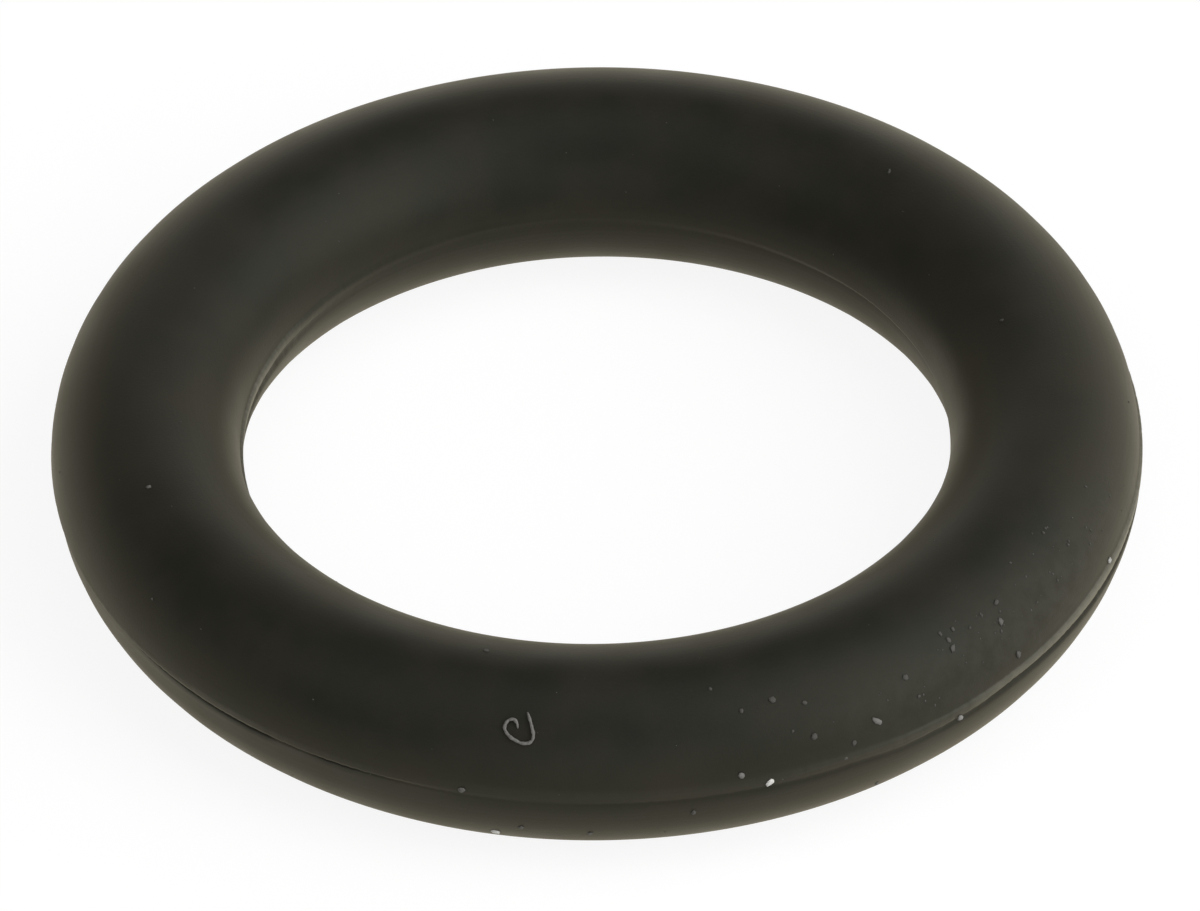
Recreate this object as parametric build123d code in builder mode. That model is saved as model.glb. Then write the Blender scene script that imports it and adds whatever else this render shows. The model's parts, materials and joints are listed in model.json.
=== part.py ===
from build123d import *
import os

# An O-ring: one moulding of rubber, in millimetres, with +Z along the axis of the ring.
# The origin is the centre of the ring, in the plane where the two mould halves met.

# What a caliper reads on the trimmed ring
inner_diameter = 11.0  # clear bore across the inner crest
section_width = 3.0  # radial width of the rubber, from inner crest to outer crest

# What the mould leaves at the parting line
flash_thickness = 0.09  # height of the land between the two half-round sections
mould_mismatch = 0.04  # sideways shift between the two mould halves, along X
trim_allowance = 0.01  # least that the trimmed crest stands proud of the moulded flanks

outer_diameter = inner_diameter + 2 * section_width
centreline_radius = (inner_diameter + section_width) / 2
cavity_radius = (section_width - mould_mismatch) / 2 - trim_allowance

with BuildPart() as o_ring:
    # The flash land is a thin flat washer. Trimming leaves its two crests round and concentric.
    with BuildSketch():
        Circle(outer_diameter / 2)
        Circle(inner_diameter / 2, mode=Mode.SUBTRACT)
    extrude(amount=flash_thickness / 2, both=True)

    # A half-round section stands on each face of the land. The upper one was moulded a little
    # towards -X and the lower one towards +X, so each is turned about its own mould's axis.
    for side in (1, -1):
        mould_centre = -side * mould_mismatch / 2
        section_centre = (mould_centre + centreline_radius, side * flash_thickness / 2)
        with BuildSketch(Plane.XZ):
            with BuildLine():
                arc = CenterArc(section_centre, cavity_radius, 0, side * 180)
                Line(arc @ 1, arc @ 0)
            make_face()
        revolve(axis=Axis((mould_centre, 0, 0), (0, 0, 1)))

o_ring.part.label = "o_ring"

os.makedirs("parts", exist_ok=True)
export_step(o_ring.part, "parts/o_ring.step")

ring_height = 2 * cavity_radius + flash_thickness
print(f"inner {inner_diameter:.2f}, outer {outer_diameter:.2f}, height {ring_height:.2f} mm")
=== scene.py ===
import json
import math
import bpy
import numpy as np
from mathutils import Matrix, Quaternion, Vector


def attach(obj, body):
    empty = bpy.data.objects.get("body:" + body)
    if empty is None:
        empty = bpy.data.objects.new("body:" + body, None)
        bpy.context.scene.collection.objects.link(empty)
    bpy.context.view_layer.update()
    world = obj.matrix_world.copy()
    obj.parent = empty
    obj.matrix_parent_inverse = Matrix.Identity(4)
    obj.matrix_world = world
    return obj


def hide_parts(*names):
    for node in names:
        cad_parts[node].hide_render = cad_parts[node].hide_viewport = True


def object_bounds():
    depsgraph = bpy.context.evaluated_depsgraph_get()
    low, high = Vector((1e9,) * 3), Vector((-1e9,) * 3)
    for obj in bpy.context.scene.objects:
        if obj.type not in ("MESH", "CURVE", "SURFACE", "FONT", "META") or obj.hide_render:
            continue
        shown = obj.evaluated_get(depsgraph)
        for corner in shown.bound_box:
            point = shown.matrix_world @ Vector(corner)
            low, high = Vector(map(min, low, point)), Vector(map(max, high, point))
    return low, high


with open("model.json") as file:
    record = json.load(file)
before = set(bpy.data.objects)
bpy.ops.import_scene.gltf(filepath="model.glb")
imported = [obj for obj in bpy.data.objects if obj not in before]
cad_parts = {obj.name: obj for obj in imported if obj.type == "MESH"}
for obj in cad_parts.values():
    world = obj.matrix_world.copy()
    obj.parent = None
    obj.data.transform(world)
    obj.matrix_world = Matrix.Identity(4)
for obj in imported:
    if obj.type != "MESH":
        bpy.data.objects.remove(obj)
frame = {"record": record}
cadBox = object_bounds()
print("frame loaded")

mm = 0.001  # the frame is in metres
mounts = {mount["name"]: mount["dims"] for mount in frame["record"]["mounts"]}
innerCrest = mounts["inside_diameter"]["r_mm"] * mm
outerCrest = mounts["outside_diameter"]["r_mm"] * mm
landHeight = mounts["outside_diameter"]["length_mm"] * mm

# The ring as it left the mould. Angles round the ring start at +X and go through +Y, in degrees,
# so -90 faces the camera. Angles round the section are 0 outside, 90 on top and 180 inside.
ring = {
    "mismatch": 0.04 * mm,  # the upper half sits towards -X by half of this, the lower one to +X
    "proud": 0.01 * mm,  # least that the trimmed crests stand out from the flanks
    "columns": 1380,
    "rowsPerHalf": 20,
    "flank": 0.36,  # mm of each half's curve that the seams take over
    "seed": 11,
}
ring["centreline"] = (innerCrest + outerCrest) / 2
ring["section"] = (outerCrest - innerCrest) / 2 - ring["mismatch"] / 2 - ring["proud"]

# The parting line, as (degrees round the ring, value) for its outer and its inner side. In
# millimetres: how high the lip's top edge runs, how far it stands out, how tall it is, how deep and
# how tall the nick under it is; the nick's depth also sets the shade painted in it. Blur spreads the
# lip's upper step over more height, and pale and rim are how strongly a highlight is painted on the
# lip and on the nick's lower edge, from 0 to 1.
partingLine = {
    "edge": {"outer": [(-178, 0.05), (-166, 0.07), (-150, 0.10), (-136, 0.135), (-119, 0.145),
                       (-104, 0.165), (-88, 0.16), (-78, 0.145), (-64, 0.13), (-56, 0.10), (-46, 0.08),
                       (-24, 0.08), (0, 0.05), (60, 0.03), (150, 0.03)],
             "inner": [(-150, 0.04), (0, 0.04), (120, 0.07), (150, 0.06)]},
    "stand": {"outer": [(-178, 0.004), (-135, 0.006), (-112, 0.002), (-90, 0.0005), (-66, 0.002),
                        (-45, 0.008), (0, 0.008), (60, 0.003), (110, 0.005)],
              "inner": [(-160, 0.006), (-60, 0.003), (0, 0.003), (60, 0.0005), (130, 0.0005),
                        (148, 0.004), (160, 0.008)]},
    "tall": {"outer": [(-178, 0.03), (-150, 0.06), (-136, 0.09), (-119, 0.09), (-104, 0.05),
                       (-80, 0.05), (-64, 0.07), (-56, 0.125), (-48, 0.13), (-41, 0.09), (-24, 0.12),
                       (-10, 0.11), (60, 0.03)],
             "inner": [(-150, 0.03), (0, 0.02), (100, 0.03), (140, 0.09), (160, 0.12)]},
    "nick": {"outer": [(-178, 0.02), (-158, 0.008), (-149, 0.012), (-139, 0.078), (-128.5, 0.095),
                       (-125.5, 0.012), (-122, 0.010), (-119.5, 0.045), (-114.5, 0.010), (-109, 0.003),
                       (-98, 0.003), (-86, 0.012), (-66, 0.014), (-56, 0.010), (-48, 0.022),
                       (-41, 0.055), (-20, 0.075), (4, 0.03), (60, 0.01), (110, 0.02), (150, 0.02)],
             "inner": [(-170, 0.02), (-120, 0.01), (-60, 0.014), (0, 0.006), (45, 0.001), (95, 0.001),
                       (125, 0.002), (138, 0.006), (148, 0.016), (156, 0.040), (166, 0.055)]},
    "gape": {"outer": [(-178, 0.05), (-150, 0.06), (-136, 0.10), (-128, 0.085), (-119, 0.055),
                       (-88, 0.07), (-60, 0.10), (-40, 0.12), (-20, 0.15), (60, 0.05)],
             "inner": [(-150, 0.05), (0, 0.05), (100, 0.08), (140, 0.16), (150, 0.20), (162, 0.20)]},
    "blur": {"outer": [(-178, 1.0), (-118, 1.0), (-104, 2.4), (-68, 2.2), (-48, 1.0), (10, 1.0),
                       (60, 1.5), (120, 1.5), (150, 1.0)],
             "inner": [(-150, 1.2), (-60, 1.4), (20, 1.4), (60, 2.6), (120, 2.6), (137, 2.0),
                       (152, 1.4), (170, 1.0)]},
    "pale": {"outer": [(-178, 0.4), (-168, 0.45), (-158, 0.12), (-144, 0.12), (-135, 0.32),
                       (-120, 0.10), (-110, 0.03), (-100, 0.05), (-80, 0.07), (-64, 0.12), (-52, 0.20),
                       (-41, 0.72), (-24, 1.0), (-10, 1.0), (20, 0.4), (100, 0.2)],
             "inner": [(-150, 0.2), (0, 0.05), (90, 0.0), (125, 0.02), (143, 0.12), (154, 0.55),
                       (165, 0.85)]},
    "rim": {"outer": [(-178, 0.2), (-160, 0.45), (-152, 0.80), (-144, 0.95), (-136, 0.70),
                      (-128, 0.35), (-120, 0.24), (-112, 0.10), (-100, 0.0), (120, 0.0)],
            "inner": [(-180, 0.0), (0, 0.0)]},
}

# How the parting line varies on top of that: slowest and fastest waves round the ring, and a
# number of its own for each seed.
seamWaves = {"rough": (60, 420, 1), "drift": (4, 30, 3), "nick": (20, 200, 5), "pale": (30, 300, 7)}
waveCount = 24
waveCalm = 5  # the sum of the waves is divided by this, which leaves it swinging about one

# The seam's section from top to bottom, in millimetres or as shares of the values above.
seam = {
    "start": 0.150,  # above the edge, where the upper flank ends
    # the step: height above the edge at a blur of one, share of the way out, share of the painted
    # highlight
    "step": [(0.050, 0.01, 0.1), (0.036, 0.08, 0.4), (0.023, 0.30, 0.8), (0.010, 0.75, 1.0)],
    # the lip: share of its height below the edge, distance back from its crest, share of the painted
    # highlight
    "lip": [(0.0, 0.0, 1.0), (0.55, 0.0, 1.0), (1.0, 0.001, 0.4)],
    "turn": 0.012,  # height in which the rubber turns under the lip
    "turnPerBlur": 0.045,
    # the turn: shares of the turn and of the nick's depth, distance back, shares of painted shade and
    # painted highlight
    "under": (0.4, 0.15, 0.003, 0.2, 0.3),
    # the nick: shares of its height, its depth, its painted shade and its rim's painted highlight
    "nick": [(0.0, 0.75, 1.0, 0.0), (0.15, 1.0, 1.0, 0.0), (0.50, 0.85, 0.9, 0.0),
             (0.80, 0.35, 0.4, 0.5), (1.0, 0.03, 0.0, 1.0)],
    "foot": -0.20,  # the seam ends this low, or this far below the nick
    "footBelowNick": 0.11,
    "leastGap": 0.03,  # least height between the nick, the foot and the lower half
    "footPale": (0.8, 0.4),  # shares of the rim's painted highlight halfway down to the foot and at it
    "shadeFullDepth": 0.12,  # a nick this deep gets the darkest painted shade
    "ragged": 0.004,  # how far the edge wanders, quickly and slowly
    "wander": 0.004,
    "crestWorn": 0.3,  # how much the quick waves take off the crest, and change the nick and the pale
    "swing": 0.10,
}

# A film of fine dust lies on the right of the front: its middle and half extent in degrees.
dustFilm = {"around": -35, "aroundReach": 42, "section": 24, "sectionReach": 42}


def stations(angle, pairs):
    # A smooth closed curve through (degrees, value) pairs, easing from each to the next by a
    # half cosine. The last pair eases back into the first.
    at, value = np.array(pairs, float).T
    at = np.append(at, at[0] + 360)
    value = np.append(value, value[0])
    turned = (np.degrees(angle) - at[0]) % 360 + at[0]
    low = np.clip(np.searchsorted(at, turned, side="right") - 1, 0, len(pairs) - 1)
    share = (turned - at[low]) / (at[low + 1] - at[low])
    return value[low] + (value[low + 1] - value[low]) * (1 - np.cos(np.pi * share)) / 2


def unevenness(angle, slowest, fastest, seed):
    # A sum of cosines round the circle, with whole wave numbers so that its ends meet, and
    # random phases, divided by a fixed number.
    rng = np.random.default_rng(seed)
    waves = rng.integers(slowest, fastest, waveCount)
    phases = rng.uniform(0, 2 * np.pi, waveCount)
    return np.cos(waves[:, None] * angle + phases[:, None]).sum(axis=0) / waveCalm


def partingRows(side, angle):
    # One side of the seam from top to bottom, as (height, reach from the centreline, painted shade
    # in the nick, painted highlight on the lip) for every angle. The lip runs along the edge of the
    # half that stands out; the rubber steps out to it from the upper flank, turns under it into the
    # nick, and comes out to the lower flank.
    where = "outer" if side == 1 else "inner"

    def along(name):
        return stations(angle, partingLine[name][where])

    def waves(name):
        slowest, fastest, number = seamWaves[name]
        return unevenness(angle, slowest, fastest, ring["seed"] + number * side)

    lean = side * np.cos(angle)  # 1 where the lower half stands out, -1 where the upper one does
    rough = waves("rough")
    edge = along("edge") + seam["wander"] * waves("drift") + seam["ragged"] * rough
    upper = ring["section"] / mm - ring["mismatch"] / mm / 2 * lean
    lower = ring["section"] / mm + ring["mismatch"] / mm / 2 * lean
    crest = np.maximum(upper, lower) + along("stand") * (1 - seam["crestWorn"] * np.abs(rough))
    nick = along("nick") * (1 + seam["swing"] * waves("nick"))
    pale = along("pale") * (1 + seam["swing"] * waves("pale"))
    tall, gape, blur, rim = (along(name) for name in ("tall", "gape", "blur", "rim"))
    # painted shade: the deeper the nick, the darker its colour is painted
    dark = np.clip(nick / seam["shadeFullDepth"], 0, 1)
    none = np.zeros_like(angle)
    turn = seam["turn"] + seam["turnPerBlur"] * (blur - 1)
    under = edge - tall - turn
    lowest = seam["leastGap"] - ring["flank"] - landHeight / mm / 2
    foot = np.maximum(np.minimum(under - gape - seam["footBelowNick"], seam["foot"]), lowest)
    gape = np.minimum(gape, under - foot - seam["leastGap"])
    # the pale shares below paint a highlight on the step, the lip and the nick's lower edge
    rows = [(edge + seam["start"], upper, none, none)]
    for above, out, paler in seam["step"]:
        rows.append((edge + above * blur, upper + out * (crest - upper), none, paler * pale))
    for down, back, paler in seam["lip"]:
        rows.append((edge - down * tall, crest - back, none, paler * pale))
    down, deep, back, shade, paler = seam["under"]
    rows.append((edge - tall - down * turn, crest - back - deep * nick, shade * dark, paler * pale))
    for down, deep, shade, paler in seam["nick"]:
        rows.append((under - down * gape, lower - deep * nick, shade * dark, paler * rim))
    halfway, end = seam["footPale"]
    rows.append(((under - gape + foot) / 2, lower, none, halfway * rim))
    rows.append((foot, lower, none, end * rim))
    return [(height * mm, reach * mm, paintedShade, paler) for height, reach, paintedShade, paler in rows]


def insideBox(points):
    # Nothing stands out of the box that the plain ring fills.
    return np.clip(points, *np.array(cadBox))


def gridQuads(rows, columns, closed, flipped):
    # Quads between neighbouring rows of points, numbered row by row. Columns close on themselves,
    # and so do the rows of a closed grid. Flipped quads face the other way.
    row, column = np.meshgrid(np.arange(rows if closed else rows - 1), np.arange(columns), indexing="ij")
    here = row * columns
    there = (row + 1) % rows * columns
    beside = (column + 1) % columns
    corners = [here + column, here + beside, there + beside, there + column]
    if flipped:
        corners = corners[:1] + corners[:0:-1]
    return np.stack(corners, -1).reshape(-1, 4)


def fan(tip, start, columns, flipped):
    # Triangles from one point, the tip, to each two neighbours in a closed row of points that are
    # numbered from start. Flipped triangles face the other way.
    first = np.arange(columns)
    second = (first + 1) % columns
    if flipped:
        first, second = second, first
    return np.stack([0 * first + tip, start + first, start + second], -1)


def newObject(name, points, *faces):
    # An object at the origin, from its points and arrays of point numbers for its faces.
    mesh = bpy.data.meshes.new(name)
    mesh.from_pydata(points, [], [corners for part in faces for corners in part.tolist()])
    mesh.update()
    made = bpy.data.objects.new(name, mesh)
    bpy.context.collection.objects.link(made)
    return made


def newPiece(name, points, *faces):
    # A smooth piece of the ring, which stays with the body root.
    piece = newObject(name, points, *faces)
    piece.data.shade_smooth()
    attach(piece, "root")
    return piece


def addValues(piece, name, values):
    # One number for each point, kept on the mesh under a name.
    attribute = piece.data.attributes.new(name, "FLOAT", "POINT")
    attribute.data.foreach_set("value", np.ascontiguousarray(values, np.float32).ravel())


def buildRing():
    # The section is carried round the axis. Its upper half circle is turned about the upper mould's
    # axis and its lower one about the lower mould's, and the two seams join them.
    angle = np.linspace(-np.pi, np.pi, ring["columns"], endpoint=False)
    radius = ring["section"]
    half = landHeight / 2
    none = np.zeros_like(angle)
    points, turns, nickShades, lipHighlights = [], [], [], []

    def addRow(shift, reach, height, turn, nick, lip):
        points.append(np.stack([shift + reach * np.cos(angle), reach * np.sin(angle), height + none], -1))
        turns.append(turn + none)
        nickShades.append(nick)
        lipHighlights.append(lip)

    def halfCircle(start, end, shift, level):
        for turn in np.linspace(start, end, ring["rowsPerHalf"]):
            addRow(shift, ring["centreline"] + radius * math.cos(turn), level + radius * math.sin(turn),
                   turn, none, none)

    def addSeam(side, order):
        # the flanks fall away from upright with height, as the half circles do
        for height, reach, nick, lip in partingRows(side, angle)[::order]:
            past = np.maximum(np.abs(height) - half, 0)
            fall = radius - np.sqrt(radius ** 2 - past ** 2)
            turn = past / radius * np.sign(height)
            addRow(0, ring["centreline"] + side * (reach - fall), height,
                   turn if side == 1 else np.pi - turn, nick, lip)

    clear = ring["flank"] * mm / radius  # angle that a seam takes from each half circle
    halfCircle(math.pi - clear, clear, -ring["mismatch"] / 2, half)
    addSeam(1, 1)
    halfCircle(-clear, clear - math.pi, ring["mismatch"] / 2, -half)
    addSeam(-1, -1)
    quads = gridQuads(len(points), ring["columns"], closed=True, flipped=True)
    piece = newPiece("rubber_ring", insideBox(np.stack(points)).reshape(-1, 3), quads)
    # painted shade in the nick and painted highlight on the lip, kept for the material
    addValues(piece, "nick", np.stack(nickShades))
    addValues(piece, "lip", np.stack(lipHighlights))
    # dust film: a smooth hill over the two angles, (1 - d squared) squared inside its extent
    around = (np.degrees(angle) - dustFilm["around"]) / dustFilm["aroundReach"]
    section = (np.degrees(np.stack(turns)) - dustFilm["section"]) / dustFilm["sectionReach"]
    distance = np.minimum(around ** 2 + section ** 2, 1)
    addValues(piece, "film", (1 - distance) ** 2)
    print("ring:", len(piece.data.vertices), "points")
    return piece


def onRing(around, section):
    # The place on the ring at two angles in degrees, with the directions out of the surface,
    # along the ring and up the section. The upper half leans to -X and the lower one to +X.
    a, s = np.radians(around), np.radians(section)
    upper = np.where(np.sin(s) >= 0, 1, -1)
    reach = ring["centreline"] + ring["section"] * np.cos(s)
    place = np.stack([reach * np.cos(a) - upper * ring["mismatch"] / 2, reach * np.sin(a),
                      upper * landHeight / 2 + ring["section"] * np.sin(s)], -1)
    out = np.stack([np.cos(s) * np.cos(a), np.cos(s) * np.sin(a), np.sin(s)], -1)
    along = np.stack([-np.sin(a), np.cos(a), 0 * a], -1)
    return place, out, along, np.cross(out, along)


ringPiece = buildRing()
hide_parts("o_ring")

# Specks of dust: degrees round the ring, degrees round the section, length, slimness, paleness.
dust = {
    "seen": [(-72.2, 1.5, 0.155, 0.72, 0.92), (-75.2, 10.5, 0.125, 0.90, 0.18),
             (-59.6, 20, 0.235, 0.40, 0.16), (-101.5, -33, 0.150, 0.80, 0.95),
             (-104.4, 3, 0.110, 0.85, 0.09), (-159.6, 76, 0.085, 0.90, 0.10),
             (-70.5, 52, 0.120, 0.90, 0.03), (-48.2, 40, 0.150, 0.60, 0.05),
             (-41.1, 36.5, 0.115, 0.90, 0.09), (-40.3, 11, 0.150, 0.80, 0.06),
             (-21, 3, 0.135, 0.70, 0.50), (-49.7, -0.5, 0.120, 0.85, 0.26),
             (-59.4, -31.7, 0.090, 0.80, 0.12), (-80.6, -9, 0.105, 0.80, 0.04),
             (-104.6, 99, 0.100, 0.80, 0.03), (11, 111, 0.070, 0.80, 0.01),
             (46, 100.5, 0.120, 0.40, 0.01), (-55, 38, 0.120, 0.70, 0.03),
             (-146.4, 35, 0.047, 0.90, 0.07), (-91.4, -26, 0.100, 0.80, 0.08),
             (-98.6, -22, 0.090, 0.90, 0.10), (-74.2, 49.4, 0.080, 0.80, 0.03),
             (-77.1, 66.2, 0.070, 0.80, 0.02), (-67.1, 45.1, 0.090, 0.80, 0.03),
             (-66.9, 23.7, 0.110, 0.80, 0.03), (-62.6, 11.7, 0.090, 0.80, 0.03),
             (-63.7, 3.1, 0.080, 0.80, 0.04), (-48.7, 51, 0.090, 0.70, 0.03),
             (-47, 49.5, 0.080, 0.80, 0.03), (-48.2, 45.5, 0.110, 0.60, 0.04),
             (-40.2, 47.6, 0.100, 0.80, 0.03)],
    "streak": 2,  # which of them is a streak, and how far it is turned from level
    "streakTurn": -42,
    "scattered": {"count": 90, "length": (0.014, 0.030), "pale": (0.0, 0.08)},
    "scatteredSection": (80, 62),  # middle and spread in degrees, here and below
    "onFilm": {"count": 70, "length": (0.020, 0.060), "pale": (0.01, 0.05)},
    "onFilmAround": (-38, 14),
    "onFilmSection": (34, 13),
    "lengthPower": 0.6,  # below 1 there are more short ones
    "slimness": (0.5, 1),
    "sides": 7,
    "rows": 3,  # of points between the poles of a speck
    "knock": 0.30,  # how far its points are knocked out of round
    "flat": 0.45,  # height of a speck against its width
    "sunk": 0.35,  # share of that height that is below the surface
    "seamRise": 0.016,  # mm that the lip of the seam lifts a speck, fading over these degrees
    "seamReach": 3,
    "seed": 29,
}


def scatterDust():
    # Seeded places: evenly round the ring and thicker on its upper side, and more on the film.
    # Lengths run from low to high by a power law, and the rest evenly.
    rng = np.random.default_rng(dust["seed"])

    def specks(kind, around, section):
        count = kind["count"]
        low, high = kind["length"]
        length = low + (high - low) * rng.power(dust["lengthPower"], count)
        slim = rng.uniform(*dust["slimness"], count)
        return np.stack([around, section, length, slim, rng.uniform(*kind["pale"], count)], -1)

    scattered, onFilm = dust["scattered"], dust["onFilm"]
    everywhere = specks(scattered, rng.uniform(-180, 180, scattered["count"]),
                        rng.normal(*dust["scatteredSection"], scattered["count"]))
    thick = specks(onFilm, rng.normal(*dust["onFilmAround"], onFilm["count"]),
                   rng.normal(*dust["onFilmSection"], onFilm["count"]))
    return np.vstack([everywhere, thick])


def dustBlob():
    # The points of a ball of radius one: the pole below, rows of points on level circles, and the
    # pole above. Its faces are two fans and the rows' quads, each cut in two.
    sides, rows = dust["sides"], dust["rows"]
    turn = np.linspace(0, 2 * np.pi, sides, endpoint=False)
    climb = np.linspace(-np.pi / 2, np.pi / 2, rows + 2)[1:-1, None]
    body = np.stack([np.cos(climb) * np.cos(turn), np.cos(climb) * np.sin(turn),
                     np.sin(climb) + 0 * turn], -1).reshape(-1, 3)
    points = np.vstack([[0, 0, -1], body, [0, 0, 1]])
    quads = 1 + gridQuads(rows, sides, closed=False, flipped=False)
    lastRow = 1 + (rows - 1) * sides
    faces = np.vstack([fan(0, 1, sides, flipped=True), quads[:, [0, 1, 2]], quads[:, [0, 2, 3]],
                       fan(lastRow + sides, lastRow, sides, flipped=False)])
    return points, faces


def buildDust():
    # The blob is stretched, turned about the surface's normal, knocked out of round and laid at
    # each place.
    rng = np.random.default_rng(dust["seed"] + 1)
    specks = np.vstack([dust["seen"], scatterDust()])
    around, section, length, slim, pale = specks.T
    blob, faces = dustBlob()
    knock = 1 + rng.uniform(-dust["knock"], dust["knock"], (len(specks), len(blob), 1))
    size = np.stack([length, length * slim, length * slim * dust["flat"]], -1) * mm / 2
    shape = blob * knock * size[:, None, :]
    spin = rng.uniform(0, np.pi, len(specks))[:, None]
    spin[dust["streak"]] = math.radians(dust["streakTurn"])
    across = shape[..., 0] * np.cos(spin) - shape[..., 1] * np.sin(spin)
    up = shape[..., 0] * np.sin(spin) + shape[..., 1] * np.cos(spin)
    place, out, along, rise = onRing(around, section)
    lift = size[:, 2] * (1 - 2 * dust["sunk"])
    lift = lift + dust["seamRise"] * mm * np.exp(-(section / dust["seamReach"]) ** 2)
    points = (place[:, None] + along[:, None] * across[..., None] + rise[:, None] * up[..., None]
              + out[:, None] * (shape[..., 2] + lift[:, None])[..., None])
    firstPoint = (np.arange(len(specks)) * len(blob))[:, None, None]
    piece = newPiece("dust_specks", insideBox(points).reshape(-1, 3), (faces + firstPoint).reshape(-1, 3))
    addValues(piece, "pale", np.repeat(pale, len(blob)))
    print("dust:", len(specks), "specks")
    return piece


# A curl of lint lies on the front. Its path is in millimetres along the ring and up the section.
lint = {
    "around": -99,
    "section": 47,
    "path": [(0.14, 0.24), (0.18, 0.15), (0.22, 0.05), (0.245, -0.03), (0.265, -0.11), (0.25, -0.19),
             (0.19, -0.235), (0.09, -0.24), (0.01, -0.21), (-0.07, -0.17), (-0.14, -0.11),
             (-0.18, -0.04), (-0.165, 0.04), (-0.12, 0.09), (-0.05, 0.10), (0.0, 0.05), (0.02, -0.03)],
    "thickness": 0.050,
    "taper": 12,  # the higher, the shorter its thin ends
    "thinnest": 0.001,
    "lumps": [(0.12, 37, 0), (0.08, 91, 1)],  # share of the radius, waves in radians, phase
    "rest": 0.8,  # its middle is this share of its radius above the rubber
    "lift": 0.012,  # how far it arches off the rubber
    "arches": 3,
    "stepsPerSpan": 12,
    "sides": 10,
}


def smoothPath(points, steps):
    # Catmull-Rom: each span between two points is a cubic of the four nearest ones, with the
    # end points mirrored outwards.
    p = np.vstack([2 * points[0] - points[1], points, 2 * points[-1] - points[-2]])
    t = np.linspace(0, 1, steps, endpoint=False)[None, :, None]
    a, b, c, d = (p[k:len(p) - 3 + k, None] for k in range(4))
    curve = (2 * b + (c - a) * t + (2 * a - 5 * b + 4 * c - d) * t ** 2
             + (3 * b - a - 3 * c + d) * t ** 3) / 2
    return np.vstack([curve.reshape(-1, points.shape[1]), points[-1:]])


def buildLint():
    # A round tube along the path, whose rings of points stand on the surface's normal and on its
    # cross product with the path. Its radius falls as the root of 1 - x to a high power at both
    # ends, and two sines make it lumpy.
    path = smoothPath(np.array(lint["path"]), lint["stepsPerSpan"]) * mm
    reach = ring["centreline"] + ring["section"] * math.cos(math.radians(lint["section"]))
    around = lint["around"] + np.degrees(path[:, 0] / reach)
    section = lint["section"] + np.degrees(path[:, 1] / ring["section"])
    place, out, _, _ = onRing(around, section)
    share = np.linspace(0, 1, len(path))
    taper = np.sqrt(np.clip(1 - (2 * share - 1) ** lint["taper"], lint["thinnest"], 1))
    lumps = sum(size * np.sin(share * waves + phase) for size, waves, phase in lint["lumps"])
    radius = lint["thickness"] / 2 * mm * taper * (1 + lumps)
    arch = lint["lift"] * mm * np.sin(share * np.pi * lint["arches"]) ** 2
    middle = place + out * (lint["rest"] * radius + arch)[:, None]
    heading = np.gradient(middle, axis=0)
    heading = heading / np.linalg.norm(heading, axis=1, keepdims=True)
    side = np.cross(heading, out)
    side = side / np.linalg.norm(side, axis=1, keepdims=True)
    up = np.cross(side, heading)
    turn = np.linspace(0, 2 * np.pi, lint["sides"], endpoint=False)
    tube = (middle[:, None] + radius[:, None, None]
            * (side[:, None] * np.cos(turn)[:, None] + up[:, None] * np.sin(turn)[:, None]))
    rows, sides = tube.shape[:2]
    tubeEnd = rows * sides  # the two tips are numbered after the tube
    points = np.vstack([tube.reshape(-1, 3), middle[:1], middle[-1:]])
    piece = newPiece("lint_curl", points, gridQuads(rows, sides, closed=False, flipped=True),
                     fan(tubeEnd, 0, sides, flipped=False),
                     fan(tubeEnd + 1, tubeEnd - sides, sides, flipped=True))
    print("lint:", tubeEnd, "points")
    return piece


dustPiece = buildDust()
lintPiece = buildLint()


def newMaterial(name):
    # A node material with its Principled shader.
    material = bpy.data.materials.new(name)
    material.use_nodes = True
    nodes, links = material.node_tree.nodes, material.node_tree.links
    return material, nodes, links, nodes["Principled BSDF"]


def newGroup(name, inputs, outputs):
    # A node group with named float sockets.
    group = bpy.data.node_groups.new(name, "ShaderNodeTree")
    for label, value in inputs.items():
        socket = group.interface.new_socket(label, in_out="INPUT", socket_type="NodeSocketFloat")
        socket.default_value = value
    for label in outputs:
        group.interface.new_socket(label, in_out="OUTPUT", socket_type="NodeSocketFloat")
    return group, group.nodes.new("NodeGroupInput"), group.nodes.new("NodeGroupOutput")


def feed(links, socket, value):
    # Links another socket in, or writes a number or a colour.
    if isinstance(value, bpy.types.NodeSocket):
        links.new(value, socket)
    elif isinstance(value, tuple):
        socket.default_value = (*value, 1)
    else:
        socket.default_value = value


def addNoise(nodes, links, vector, scale, detail):
    # A noise texture, read at a vector.
    noise = nodes.new("ShaderNodeTexNoise")
    noise.inputs["Detail"].default_value = detail
    feed(links, noise.inputs["Scale"], scale)
    links.new(vector, noise.inputs["Vector"])
    return noise


def addRange(nodes, links, source, low, high, start=0.0, end=1.0):
    # Maps low..high of a value to start..end, clamped.
    ranger = nodes.new("ShaderNodeMapRange")
    ranger.inputs["From Min"].default_value = low
    ranger.inputs["From Max"].default_value = high
    ranger.inputs["To Min"].default_value = start
    ranger.inputs["To Max"].default_value = end
    links.new(source, ranger.inputs["Value"])
    return ranger.outputs["Result"]


def addMath(nodes, links, operation, first, second):
    # One operation on two numbers or sockets.
    node = nodes.new("ShaderNodeMath")
    node.operation = operation
    feed(links, node.inputs[0], first)
    feed(links, node.inputs[1], second)
    return node.outputs["Value"]


def addColourMix(nodes, links, factor, first, second):
    # The first colour at a factor of 0 and the second at 1, straight between them.
    mix = nodes.new("ShaderNodeMix")
    mix.data_type = "RGBA"
    links.new(factor, mix.inputs["Factor"])
    colourSockets = [socket for socket in mix.inputs if socket.type == "RGBA"]
    feed(links, colourSockets[0], first)
    feed(links, colourSockets[1], second)
    return [socket for socket in mix.outputs if socket.type == "RGBA"][0]


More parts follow.
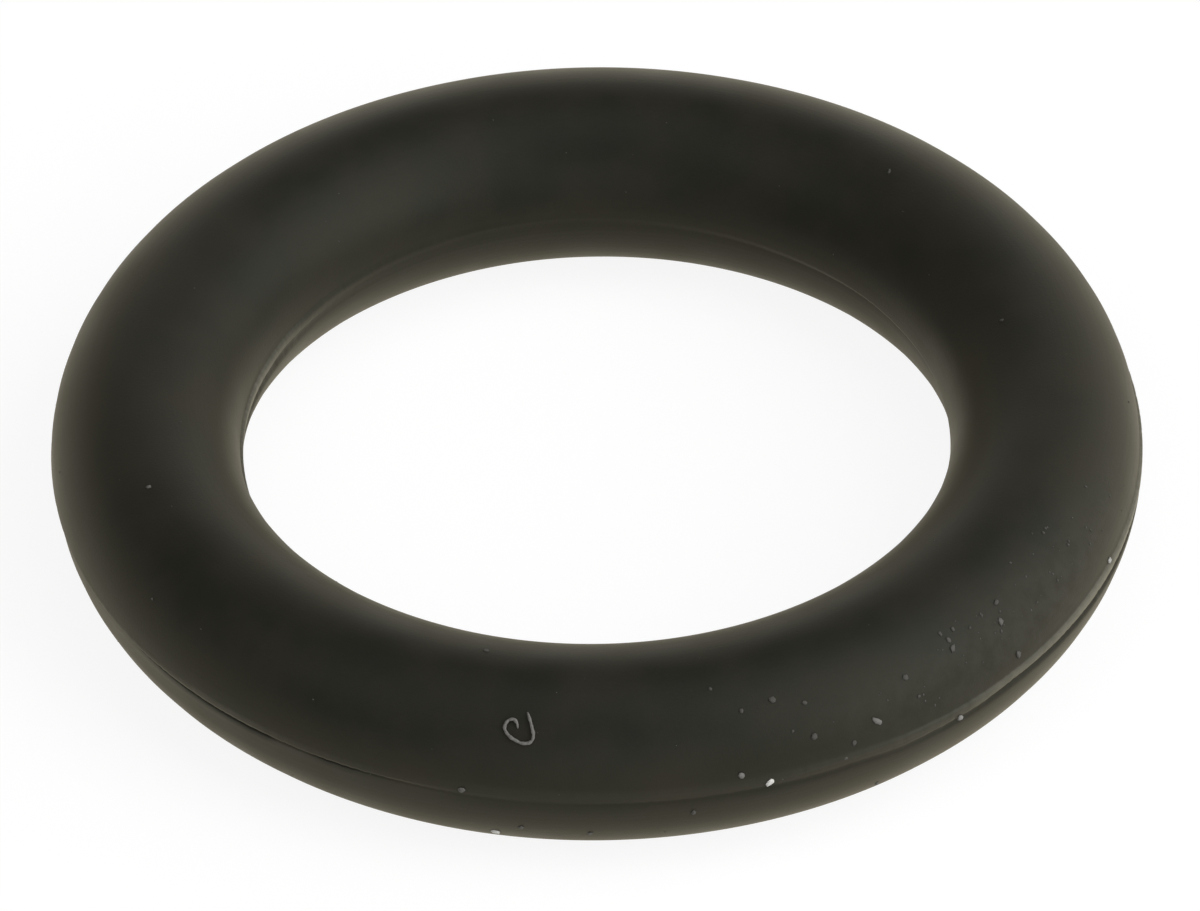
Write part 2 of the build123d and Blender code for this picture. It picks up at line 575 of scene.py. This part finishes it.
def addValue(nodes, name):
    # Reads a number that the mesh keeps for each point.
    attribute = nodes.new("ShaderNodeAttribute")
    attribute.attribute_type = "GEOMETRY"
    attribute.attribute_name = name
    return attribute.outputs["Fac"]


def addBump(nodes, links, height, depth, shader):
    # Raises the shader's surface by a height from 0 to 1 times a depth.
    bump = nodes.new("ShaderNodeBump")
    bump.inputs["Distance"].default_value = depth
    links.new(height, bump.inputs["Height"])
    links.new(bump.outputs["Normal"], shader.inputs["Normal"])


grain = {"scale": 30000.0, "softness": 0.5, "finer": 3, "coarseDetail": 1, "fineDetail": 0}


def grainGroup():
    # Fine grain: two noises on object coordinates, the second at three times the scale. Softness is
    # the share of the coarse one.
    sockets = {"Scale": grain["scale"], "Softness": grain["softness"]}
    group, inner, outer = newGroup("fineGrain", sockets, ["Height"])
    nodes, links = group.nodes, group.links
    place = nodes.new("ShaderNodeTexCoord").outputs["Object"]
    coarse = addNoise(nodes, links, place, inner.outputs["Scale"], grain["coarseDetail"])
    finer = addMath(nodes, links, "MULTIPLY", inner.outputs["Scale"], grain["finer"])
    fine = addNoise(nodes, links, place, finer, grain["fineDetail"])
    blend = nodes.new("ShaderNodeMix")
    links.new(inner.outputs["Softness"], blend.inputs["Factor"])
    links.new(fine.outputs["Fac"], blend.inputs["A"])
    links.new(coarse.outputs["Fac"], blend.inputs["B"])
    links.new(blend.outputs["Result"], outer.inputs["Height"])
    return group


fineGrain = grainGroup()


def addGrain(nodes, scale, softness):
    # The fine grain's height, from 0 to 1.
    node = nodes.new("ShaderNodeGroup")
    node.node_tree = fineGrain
    node.inputs["Scale"].default_value = scale
    node.inputs["Softness"].default_value = softness
    return node.outputs["Height"]


rubber = {
    "colour": (0.0100, 0.0112, 0.0094),
    "paler": (0.0168, 0.0158, 0.0124),  # where handling has left it a little lighter
    "filmColour": (0.060, 0.060, 0.054),
    "filmShare": 0.28,
    # painted shade laid into the seam's nick
    "nickShadeColour": (0.0015, 0.0015, 0.001),
    # painted highlight on the seam's lip and the nick's lower edge
    "lipHighlightColour": (0.13, 0.125, 0.10),
    "roughness": 0.5,
    "roughnessSwing": 0.04,
    "filmDulls": 0.2,
    "specular": 0.2,
    "specularTint": (1.0, 0.99, 0.80),
    "sheen": 0.14,
    "sheenRoughness": 0.5,
    "sheenTint": (1.0, 0.88, 0.56),
    "grainScale": 26000.0,
    "grainSoftness": 0.6,
    "grainDepth": 0.0020 * mm,
    "mottleScale": 900.0,
    "mottleDetail": 4,
    "wornFrom": (0.35, 0.7),  # the part of the mottle that wears the rubber, and that dulls it
    "dullFrom": (0.3, 0.7),
    "patchScale": 3800.0,
    "patchDetail": 4,
    "patchRoughness": 0.65,
    "patchFrom": (0.38, 0.64),  # the part of the noise that makes patches, and the film in them
    "patchTo": (0.12, 1.0),
    "turningScale": 14000.0,  # fine rings that the turned mould has left
    "turningDetail": 1,
    "turningShare": 0.5,
}


def addTurning(nodes, links, place):
    # Turning rings: noise on (distance from the axis, height), the same all the way round.
    split = nodes.new("ShaderNodeSeparateXYZ")
    links.new(place, split.inputs["Vector"])
    squares = addMath(nodes, links, "ADD", addMath(nodes, links, "POWER", split.outputs["X"], 2.0),
                      addMath(nodes, links, "POWER", split.outputs["Y"], 2.0))
    section = nodes.new("ShaderNodeCombineXYZ")
    links.new(addMath(nodes, links, "SQRT", squares, 0.0), section.inputs["X"])
    links.new(split.outputs["Z"], section.inputs["Y"])
    turning = addNoise(nodes, links, section.outputs["Vector"], rubber["turningScale"],
                       rubber["turningDetail"])
    turning.noise_dimensions = "2D"
    return turning.outputs["Fac"]


def rubberMaterial():
    # Black rubber with mottled wear. The film's share is its hill times its patches, and the film,
    # the painted highlight on the lip and the painted shade in the nick are each laid over the colour
    # below by their share.
    material, nodes, links, shader = newMaterial("blackNitrileRubber")
    shader.inputs["Specular IOR Level"].default_value = rubber["specular"]
    shader.inputs["Specular Tint"].default_value = (*rubber["specularTint"], 1)
    shader.inputs["Sheen Weight"].default_value = rubber["sheen"]
    shader.inputs["Sheen Roughness"].default_value = rubber["sheenRoughness"]
    shader.inputs["Sheen Tint"].default_value = (*rubber["sheenTint"], 1)
    place = nodes.new("ShaderNodeTexCoord").outputs["Object"]
    mottle = addNoise(nodes, links, place, rubber["mottleScale"], rubber["mottleDetail"]).outputs["Fac"]
    paler = addRange(nodes, links, mottle, *rubber["wornFrom"])
    colour = addColourMix(nodes, links, paler, rubber["colour"], rubber["paler"])
    patches = addNoise(nodes, links, place, rubber["patchScale"], rubber["patchDetail"])
    patches.inputs["Roughness"].default_value = rubber["patchRoughness"]
    patchy = addRange(nodes, links, patches.outputs["Fac"], *rubber["patchFrom"], *rubber["patchTo"])
    film = addMath(nodes, links, "MULTIPLY", addValue(nodes, "film"), patchy)
    film = addMath(nodes, links, "MULTIPLY", film, rubber["filmShare"])
    colour = addColourMix(nodes, links, film, colour, rubber["filmColour"])
    # painted highlight on the lip and the nick's lower edge
    colour = addColourMix(nodes, links, addValue(nodes, "lip"), colour, rubber["lipHighlightColour"])
    # painted shade in the nick
    colour = addColourMix(nodes, links, addValue(nodes, "nick"), colour, rubber["nickShadeColour"])
    links.new(colour, shader.inputs["Base Color"])
    # roughness wanders a little, and the film dulls it
    dull = addRange(nodes, links, mottle, *rubber["dullFrom"],
                    rubber["roughness"] - rubber["roughnessSwing"],
                    rubber["roughness"] + rubber["roughnessSwing"])
    dull = addMath(nodes, links, "ADD", dull, addMath(nodes, links, "MULTIPLY", film, rubber["filmDulls"]))
    links.new(dull, shader.inputs["Roughness"])
    turning = addMath(nodes, links, "MULTIPLY", addTurning(nodes, links, place), rubber["turningShare"])
    height = addMath(nodes, links, "ADD", addGrain(nodes, rubber["grainScale"], rubber["grainSoftness"]),
                     turning)
    addBump(nodes, links, height, rubber["grainDepth"], shader)
    return material


# Dust and lint go from their dark colour to their light one by the grain: the part of its height
# in grainFrom is spread over grainTo.
dustLook = {"name": "dustMote", "dark": (0.06, 0.058, 0.05), "light": (0.86, 0.85, 0.80),
            "roughness": 0.9, "specular": 0.3, "grainScale": 90000.0, "grainSoftness": 0.5,
            "grainFrom": (0.3, 0.7), "grainTo": (0.75, 1.1), "grainDepth": 0.002 * mm}
lintLook = {"name": "cottonLint", "dark": (0.11, 0.107, 0.10), "light": (0.22, 0.215, 0.20),
            "roughness": 0.7, "specular": 0.4, "grainScale": 60000.0, "grainSoftness": 0.4,
            "grainFrom": (0.3, 0.7), "grainTo": (0.0, 1.0), "grainDepth": 0.002 * mm}


def grainyMaterial(look, shareName=None):
    # Two colours by the grain, times a number that the mesh keeps for each point where it is named.
    material, nodes, links, shader = newMaterial(look["name"])
    shader.inputs["Roughness"].default_value = look["roughness"]
    shader.inputs["Specular IOR Level"].default_value = look["specular"]
    height = addGrain(nodes, look["grainScale"], look["grainSoftness"])
    share = addRange(nodes, links, height, *look["grainFrom"], *look["grainTo"])
    if shareName:
        share = addMath(nodes, links, "MULTIPLY", addValue(nodes, shareName), share)
    links.new(addColourMix(nodes, links, share, look["dark"], look["light"]), shader.inputs["Base Color"])
    addBump(nodes, links, height, look["grainDepth"], shader)
    return material


ringPiece.data.materials.append(rubberMaterial())
dustPiece.data.materials.append(grainyMaterial(dustLook, "pale"))
lintPiece.data.materials.append(grainyMaterial(lintLook))
print("materials made")

# A white table in a room of softboxes. Lamp azimuth 0 is the camera's side and 90 its right.
studio = {
    "floorRadius": 0.6,
    "floorSides": 96,
    "floorRings": 8,
    "floorDrop": 0.001 * mm,  # a hair's gap keeps the ring's underside clear of the card
    "floorShade": (0.8, 0.8, 0.8),
    "cardInGloss": (1.0, 0.94, 0.79),  # the card and the sweep as gloss sees them
    "openLight": 0.7,  # how brightly the lamps light a plain white level card
    "shadowShare": 0.16,  # how much of the seen floor's white the lamps give
    "air": 0.02,
    "sweep": 0.9,  # the white sweep round the room, as gloss sees it
    "sweepTop": 24,  # degrees above the floor where it has faded
    "lampSize": 0.42,
    "lampDistance": 0.7,
    "lamps": {"keyLow": (60, 20, 1.81), "keyHigh": (60, 50, 1.17), "right": (100, 20, 0.86),
              "rightHigh": (100, 50, 0.78), "backRight": (140, 20, 0.27), "back": (180, 5, 0.63),
              "leftHigh": (300, 50, 0.72), "front": (0, 20, 0.80), "overhead": (0, 89, 0.62)},
}
white = (1, 1, 1)  # as the camera sees the room


def buildFloor():
    # A flat disc: rings of points whose radius grows with the square of their number, round a
    # middle point, a hair below the ring's underside.
    sides, rings = studio["floorSides"], studio["floorRings"]
    angle = np.linspace(0, 2 * np.pi, sides, endpoint=False)
    reach = studio["floorRadius"] * (np.arange(1, rings + 1) / rings) ** 2
    flat = np.stack([reach[:, None] * np.cos(angle), reach[:, None] * np.sin(angle)], -1).reshape(-1, 2)
    points = np.vstack([[0, 0], flat])
    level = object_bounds()[0][2] - studio["floorDrop"]
    points = np.hstack([points, np.full((len(points), 1), level)])
    floor = newObject("studio_floor", points, fan(0, 1, sides, flipped=False),
                      1 + gridQuads(rings, sides, closed=False, flipped=True))
    floor.data.materials.append(floorMaterial())


def mirrorRay(nodes, links):
    # 1 for a glossy or a transmitted ray, and 0 for others.
    path = nodes.new("ShaderNodeLightPath")
    glossy, transmitted = path.outputs["Is Glossy Ray"], path.outputs["Is Transmission Ray"]
    return addMath(nodes, links, "MAXIMUM", glossy, transmitted)


def cameraRay(nodes):
    # 1 for a ray from the camera, and 0 for others.
    return nodes.new("ShaderNodeLightPath").outputs["Is Camera Ray"]


def floorMaterial():
    # Light on the object bounces off a plain white card. The camera sees white less the shadow,
    # and a glossy surface sees the same pale card. From below the card is not there for the camera.
    material, nodes, links, shader = newMaterial("whiteCard")
    nodes.remove(shader)

    def matte(colour):
        node = nodes.new("ShaderNodeBsdfDiffuse")
        feed(links, node.inputs["Color"], colour)
        return node.outputs["BSDF"]

    def glow(colour, strength):
        node = nodes.new("ShaderNodeEmission")
        feed(links, node.inputs["Color"], colour)
        feed(links, node.inputs["Strength"], strength)
        return node.outputs["Emission"]

    def together(first, second):
        node = nodes.new("ShaderNodeAddShader")
        links.new(first, node.inputs[0])
        links.new(second, node.inputs[1])
        return node.outputs["Shader"]

    def choose(factor, first, second):
        node = nodes.new("ShaderNodeMixShader")
        links.new(factor, node.inputs["Fac"])
        links.new(first, node.inputs[1])
        links.new(second, node.inputs[2])
        return node.outputs["Shader"]

    share = studio["shadowShare"]
    rest = 1 - share * studio["openLight"]
    mirrored = together(matte((share,) * 3), glow(studio["cardInGloss"], rest))
    card = choose(mirrorRay(nodes, links), matte(studio["floorShade"]), mirrored)
    seen = together(matte((share,) * 3), glow(white, rest))
    fromBelow = nodes.new("ShaderNodeNewGeometry").outputs["Backfacing"]
    seen = choose(fromBelow, seen, nodes.new("ShaderNodeBsdfTransparent").outputs["BSDF"])
    card = choose(cameraRay(nodes), card, seen)
    links.new(card, nodes["Material Output"].inputs["Surface"])
    return material


def buildWorld():
    # The camera sees white, and so do glass and gloss low down, where the room's white sweep
    # stands: it fades upwards with the sine of the height. Matte surfaces see only dim air.
    world = bpy.data.worlds.new("studioAir")
    bpy.context.scene.world = world
    world.use_nodes = True
    nodes, links = world.node_tree.nodes, world.node_tree.links
    split = nodes.new("ShaderNodeSeparateXYZ")
    links.new(nodes.new("ShaderNodeTexCoord").outputs["Generated"], split.inputs["Vector"])
    sweep = addRange(nodes, links, split.outputs["Z"], 0.0, math.sin(math.radians(studio["sweepTop"])),
                     studio["sweep"], studio["air"])
    gloss = mirrorRay(nodes, links)
    light = addMath(nodes, links, "MULTIPLY", sweep, gloss)
    light = addMath(nodes, links, "MAXIMUM", light, studio["air"])
    light = addMath(nodes, links, "MAXIMUM", light, cameraRay(nodes))
    air = nodes["Background"]
    links.new(addColourMix(nodes, links, gloss, white, studio["cardInGloss"]), air.inputs["Color"])
    links.new(light, air.inputs["Strength"])


def placeLamp(name, azimuth, elevation, power):
    # A square softbox at its distance from the origin, facing it.
    turn, climb = math.radians(azimuth), math.radians(elevation)
    way = Vector((math.sin(turn) * math.cos(climb), -math.cos(turn) * math.cos(climb), math.sin(climb)))
    light = bpy.data.lights.new(name, "AREA")
    light.shape = "SQUARE"
    light.size = studio["lampSize"]
    light.energy = power
    softbox = bpy.data.objects.new(name, light)
    softbox.location = way * studio["lampDistance"]
    softbox.rotation_mode = "QUATERNION"
    softbox.rotation_quaternion = way.to_track_quat("Z", "Y")
    softbox.visible_camera = False
    bpy.context.collection.objects.link(softbox)


buildFloor()
buildWorld()
for lampName, (azimuth, elevation, power) in studio["lamps"].items():
    placeLamp(lampName, azimuth, elevation, power)
print("studio lit")

view = {
    "elevation": 40.16,  # degrees above the floor
    "distance": 286.5 * mm,
    "lens": 552.0,
    "roll": -0.77,
    "aimRight": 0.050 * mm,  # where it looks, from the middle of the ring
    "aimUp": -0.139 * mm,
    "near": 0.01,
    "far": 5,
}


def placeCamera():
    # On the -Y side at its elevation, looking just beside the middle of the ring, then rolled.
    tilt = math.radians(view["elevation"])
    back = Vector((0, -math.cos(tilt), math.sin(tilt)))
    up = Vector((0, math.sin(tilt), math.cos(tilt)))
    place = back * view["distance"]
    target = Vector((view["aimRight"], 0, 0)) + up * view["aimUp"]
    camera = bpy.data.objects.new("camera", bpy.data.cameras.new("camera"))
    camera.data.lens = view["lens"]
    camera.data.clip_start = view["near"]
    camera.data.clip_end = view["far"]
    camera.location = place
    camera.rotation_mode = "QUATERNION"
    look = (target - place).to_track_quat("-Z", "Y")
    camera.rotation_quaternion = look @ Quaternion((0, 0, 1), math.radians(view["roll"]))
    bpy.context.collection.objects.link(camera)
    bpy.context.scene.camera = camera


placeCamera()
bpy.context.scene.view_settings.view_transform = "Standard"
print("camera placed")
